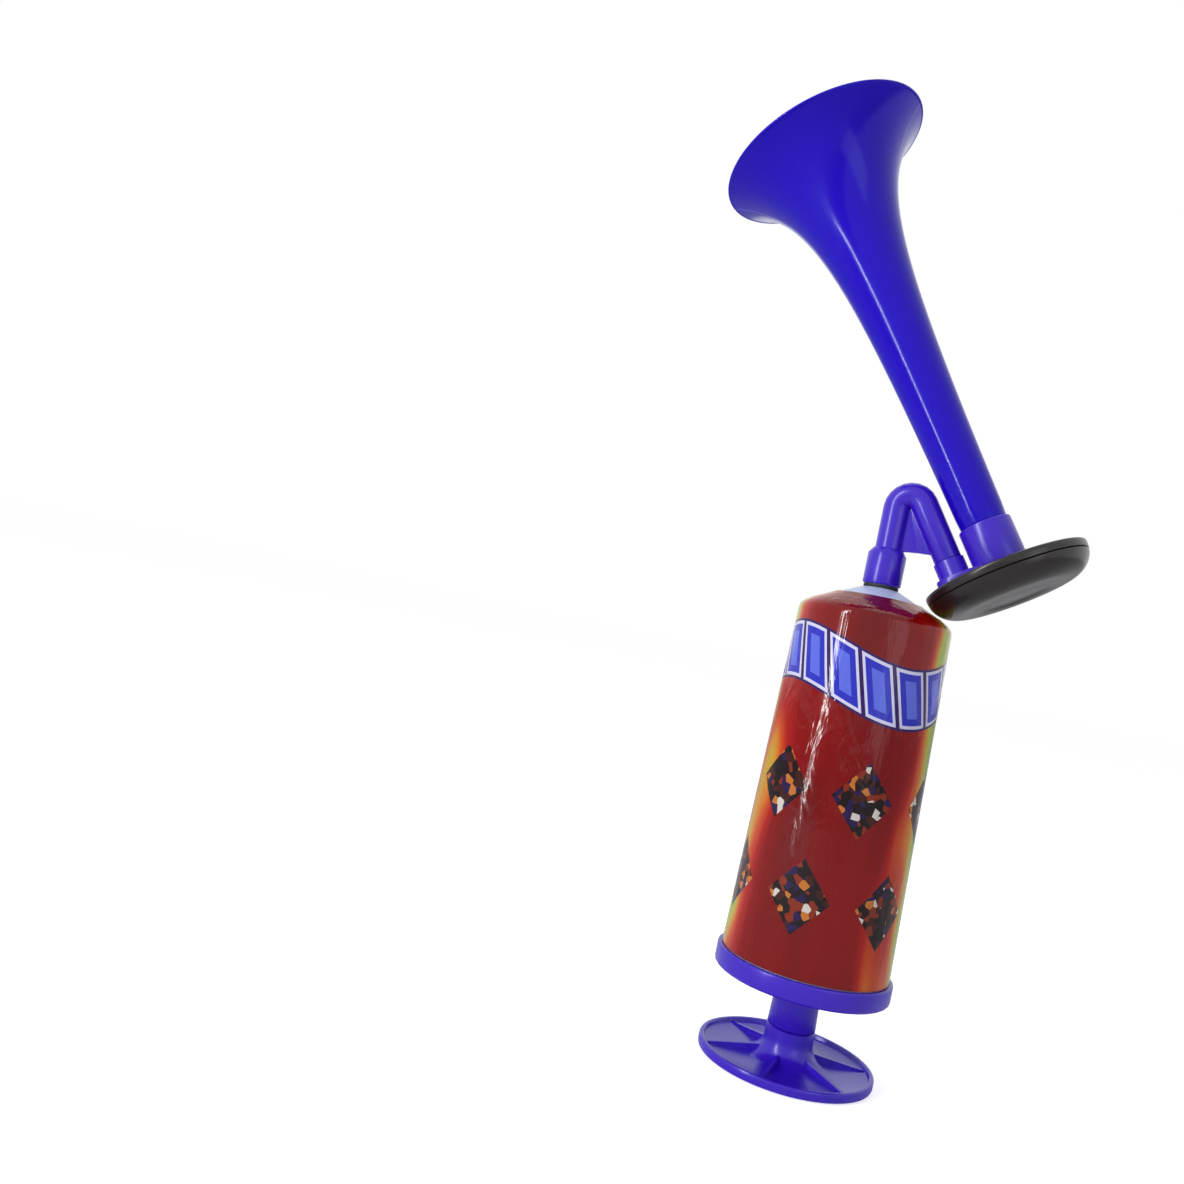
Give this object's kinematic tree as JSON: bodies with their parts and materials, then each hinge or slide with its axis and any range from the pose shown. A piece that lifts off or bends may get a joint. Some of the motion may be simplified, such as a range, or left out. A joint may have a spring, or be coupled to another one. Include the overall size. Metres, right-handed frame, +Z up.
{
  "type": "hand-pump air horn",
  "caption": "Hand-pump air horn: a tapered barrel with a sliding plunger and dish handle, an air elbow, a round diaphragm housing and a long flared trumpet.",
  "frame": {"origin": "centre of the handle's flat foot, on the pump axis", "axes": "+Z up along the pump axis, +X towards the diaphragm housing; the XZ plane is the mirror plane of the horn head"},
  "size_m": [0.153, 0.0782, 0.3553],
  "materials": {
    "blue_plastic": "glossy",
    "black_plastic": "glossy",
    "white_plastic": "satin",
    "printed_film": "glossy",
    "soft_rubber": "matt",
    "diaphragm_film": "satin"
  },
  "bodies": {
    "pump": {"pump_barrel": "white_plastic", "barrel_label": "printed_film", "end_cap": "blue_plastic"},
    "plunger": {"piston_rod": "blue_plastic", "handle": "blue_plastic", "piston_head": "white_plastic", "piston_seal": "soft_rubber"},
    "washer": {"outlet_washer": "soft_rubber"},
    "head": {"air_elbow": "blue_plastic", "horn_base": "blue_plastic", "housing_front": "black_plastic", "housing_rear": "black_plastic", "diaphragm_gasket": "soft_rubber", "diaphragm": "diaphragm_film", "trumpet": "blue_plastic"}
  },
  "joints": [
    {"name": "pump_stroke", "type": "slide", "parent": "pump", "child": "plunger", "axis": [0, 0, -1], "range_m": [0, 0.105]},
    {"name": "head_lift", "type": "slide", "parent": "pump", "child": "washer", "axis": [0, 0, 1], "range_m": [0, 0.006]},
    {"name": "head_screw", "type": "hinge", "parent": "washer", "child": "head", "pos_m": [0, 0, 0.18], "axis": [0, 0, 1], "range_deg": [0, 720]}
  ],
  "couplings": [
    {"joint": "head_lift", "follows": "head_screw", "m_per_rad": 0.00047746}
  ]
}
